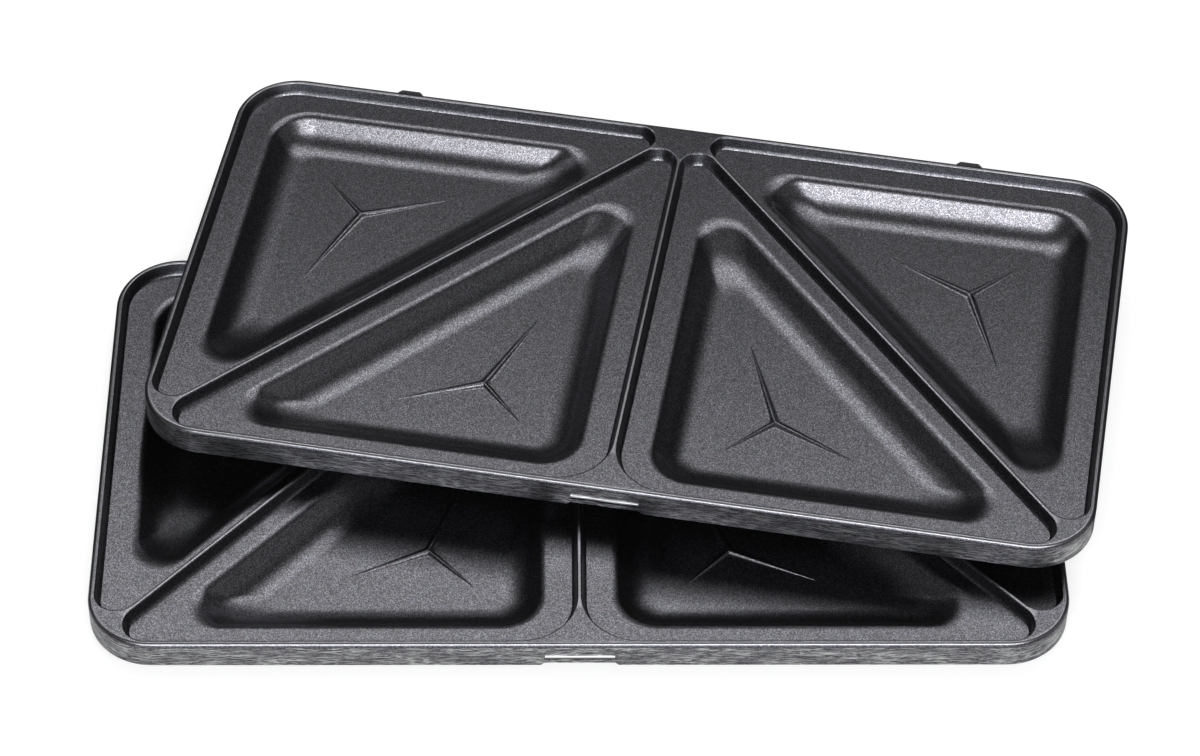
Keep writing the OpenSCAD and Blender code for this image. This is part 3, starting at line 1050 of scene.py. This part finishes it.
def painted_highlight_share(x, y, z):
    """1 where a point in a plate's frame, in millimetres, lies on a crest with a painted highlight,
    else 0.
    """
    if outline_gap(x, y) < RIM_W:
        return 1.0 if PAINTED_EDGE_LOW < z < PAINTED_EDGE_TOP else 0.0
    slanting = abs(PLATE_D * abs(x) + HALF_W * (y - HALF_D)) / math.hypot(HALF_W, PLATE_D)
    on_ridge = min(abs(x), slanting) < PAINTED_RIDGE_REACH
    return 1.0 if on_ridge and z > PAINTED_RIDGE_LOW else 0.0


def place_piece(name, data, place, materials, body, node):
    """One piece of the part in its place, on its body, with its materials."""
    piece = bpy.data.objects.new(name, data.copy())
    remembered = piece.data.attributes.new("on_plate", "FLOAT_VECTOR", "POINT")
    for entry, vertex in zip(remembered.data, piece.data.vertices):
        entry.vector = vertex.co
    # Painted highlight: marks the points that get the lighter crest colour.
    painted_highlight = piece.data.attributes.new("painted_highlight", "FLOAT", "POINT")
    for entry, vertex in zip(painted_highlight.data, piece.data.vertices):
        entry.value = painted_highlight_share(*(vertex.co / MM))
    piece.data.transform(place)
    for material in materials:
        piece.data.materials.append(material)
    bpy.context.scene.collection.objects.link(piece)
    weigh = piece.modifiers.new("flat_faces_stay_flat", "WEIGHTED_NORMAL")
    weigh.mode = "FACE_AREA"
    weigh.weight = LARGE_FACES_WEIGH
    weigh.keep_sharp = True
    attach(piece, body)
    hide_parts(node)
    return piece


for body, place in (("lower", lower_place), ("upper", upper_place)):
    plate_piece = place_piece(
        body + "_coated_plate", plate_data, place, [coating, skirt_finish],
        body, body + "_plate",
    )
    strip_piece = place_piece(
        body + "_steel_strip", strip_data, place, [steel], body, body + "_catch_strip"
    )
    for piece in (plate_piece, strip_piece):
        print(piece.name, len(piece.data.polygons), "faces")

# %% [markdown]
# ## Floor and backdrop
# The photograph stands the plates on plain white. The floor is an ordinary pale
# surface that catches the plates' shadow. To a camera or glossy ray it also glows a
# little, so that it reads as white without more light on the plates.

# %% Floor and world
WHITE = (1, 1, 1)
FLOOR_SIZE = 12.0
FLOOR_COLOUR = (0.5, 0.5, 0.5)
FLOOR_ROUGH = 0.9
CAMERA_GLOW = 0.6
MIRROR_GLOW = 0.2


def background_glow(tree, to_camera, to_mirrors):
    """Strength of the white background for camera rays, and for glossy and transmission rays."""
    path = tree.nodes.new("ShaderNodeLightPath")
    glossy, transmitted = path.outputs["Is Glossy Ray"], path.outputs["Is Transmission Ray"]
    mirrored = math_node(tree, "MAXIMUM", glossy, transmitted)
    seen = math_node(tree, "MULTIPLY", path.outputs["Is Camera Ray"], to_camera)
    return math_node(tree, "ADD", seen, math_node(tree, "MULTIPLY", mirrored, to_mirrors))


floor_mesh = bmesh.new()
bmesh.ops.create_grid(floor_mesh, x_segments=1, y_segments=1, size=FLOOR_SIZE / 2)
floor = as_object("floor", floor_mesh)
floor_material, floor_tree, floor_shader = new_material("pale_floor")
floor_shader.inputs["Base Color"].default_value = (*FLOOR_COLOUR, 1)
floor_shader.inputs["Roughness"].default_value = FLOOR_ROUGH
floor_shader.inputs["Specular IOR Level"].default_value = 0.0
floor_shader.inputs["Emission Color"].default_value = (*WHITE, 1)
floor_tree.links.new(
    background_glow(floor_tree, CAMERA_GLOW, MIRROR_GLOW), floor_shader.inputs["Emission Strength"]
)
floor.data.materials.append(floor_material)

FILL = 0.25
world = bpy.data.worlds.new("studio")
world.use_nodes = True
bpy.context.scene.world = world
world_tree = world.node_tree
sky = world_tree.nodes["Background"]
sky.inputs["Color"].default_value = (*WHITE, 1)
world_glow = background_glow(world_tree, 1 - FILL, 1 - FILL)
world_tree.links.new(math_node(world_tree, "ADD", world_glow, FILL), sky.inputs["Strength"])
print("floor", FLOOR_SIZE, "m")

# %% [markdown]
# ## Lights and flags
# Shiny dark metal shows its surroundings more than its own colour, so the picture is
# made by what each slope mirrors. A wide soft box overhead draws the floors, the
# lands and the bright line along every upper edge. One in front, beside the camera,
# lights the walls that face it. A low card in front lights the skirts, and three
# dim cards at the sides keep a soft gradient on the walls that face sideways.
# Everything else is dark flags: a closed room that only reflections see, and a
# shade over the floor from the plates backwards, so the other walls go dark as they
# do in the photograph.

# %% Lights
TARGET = Vector((0, 0, 0.015))
SOFT_BOXES = dict(
    overhead=dict(azimuth=-7, elevation=115, distance=0.9, width=1.05, height=0.38, watts=3.85),
    front=dict(azimuth=2, elevation=44, distance=1.5, width=1.34, height=0.40, watts=18.0),
    card=dict(
        azimuth=-6, elevation=14, distance=1.7, width=1.4, height=0.72, watts=6.3,
        tint=(0.93, 0.98, 1.05),
    ),
    right_card=dict(azimuth=80, elevation=24, distance=1.6, width=1.1, height=0.8, watts=0.9),
    left_card=dict(azimuth=-80, elevation=24, distance=1.6, width=1.1, height=0.8, watts=0.3),
    back_card=dict(azimuth=-116, elevation=45, distance=1.2, width=0.62, height=0.34, watts=0.55),
)


def from_front(azimuth, elevation, distance):
    """A point seen from the plates: elevation 0 in front, 90 overhead and 180 behind."""
    up, side = math.radians(elevation), math.radians(azimuth)
    arm = Vector((math.sin(side) * math.cos(up), -math.cos(side) * math.cos(up), math.sin(up)))
    return TARGET + arm * distance


def facing(position, target):
    """Rotation that points local -Z at the target."""
    return (target - position).to_track_quat("-Z", "Y").to_matrix().to_4x4()


for name, box in SOFT_BOXES.items():
    lamp = bpy.data.lights.new(name, "AREA")
    lamp.shape = "RECTANGLE"
    lamp.size, lamp.size_y, lamp.energy = box["width"], box["height"], box["watts"]
    lamp.color = box.get("tint", WHITE)
    holder = bpy.data.objects.new(name, lamp)
    at = from_front(box["azimuth"], box["elevation"], box["distance"])
    holder.matrix_world = Matrix.Translation(at) @ facing(at, TARGET)
    bpy.context.scene.collection.objects.link(holder)
    print(name, [round(c, 2) for c in at])

# %% Flags
ROOM_HALF = 1.9
ROOM_FOOT = 0.02
ROOM_HEIGHT = 2.4
SHADE_FRONT = -0.05
SHADE_HEIGHT = 0.0005
FLAG_COLOUR = (0.02, 0.02, 0.02)


def level_ring(mesh, front, back, z):
    """Four corners of a level rectangle as wide as the room."""
    corners = ((-1, front), (1, front), (1, back), (-1, back))
    return [mesh.verts.new((side * ROOM_HALF, y, z)) for side, y in corners]


flags_mesh = bmesh.new()
room_foot = level_ring(flags_mesh, -ROOM_HALF, ROOM_HALF, ROOM_FOOT)
room_head = level_ring(flags_mesh, -ROOM_HALF, ROOM_HALF, ROOM_HEIGHT)
band(flags_mesh, room_foot, room_head)
flags_mesh.faces.new(room_head)
flags_mesh.faces.new(level_ring(flags_mesh, SHADE_FRONT, ROOM_HALF, SHADE_HEIGHT))
flags = as_object("flags", flags_mesh)
flag_material, _, flag_shader = new_material("flag_cloth")
flag_shader.inputs["Base Color"].default_value = (*FLAG_COLOUR, 1)
flag_shader.inputs["Roughness"].default_value = 1.0
flags.data.materials.append(flag_material)
flags.visible_camera = flags.visible_diffuse = flags.visible_shadow = False
flags.visible_transmission = flags.visible_volume_scatter = False
print("flags:", len(flags.data.polygons), "faces")

# %% [markdown]
# ## Finish
# The dressed pieces reach a few hundredths of a millimetre beyond the imported
# solid, because a finer arc reaches a little further than the imported solid's.

# %% Finish
scene = bpy.context.scene
scene.view_settings.view_transform = "Standard"
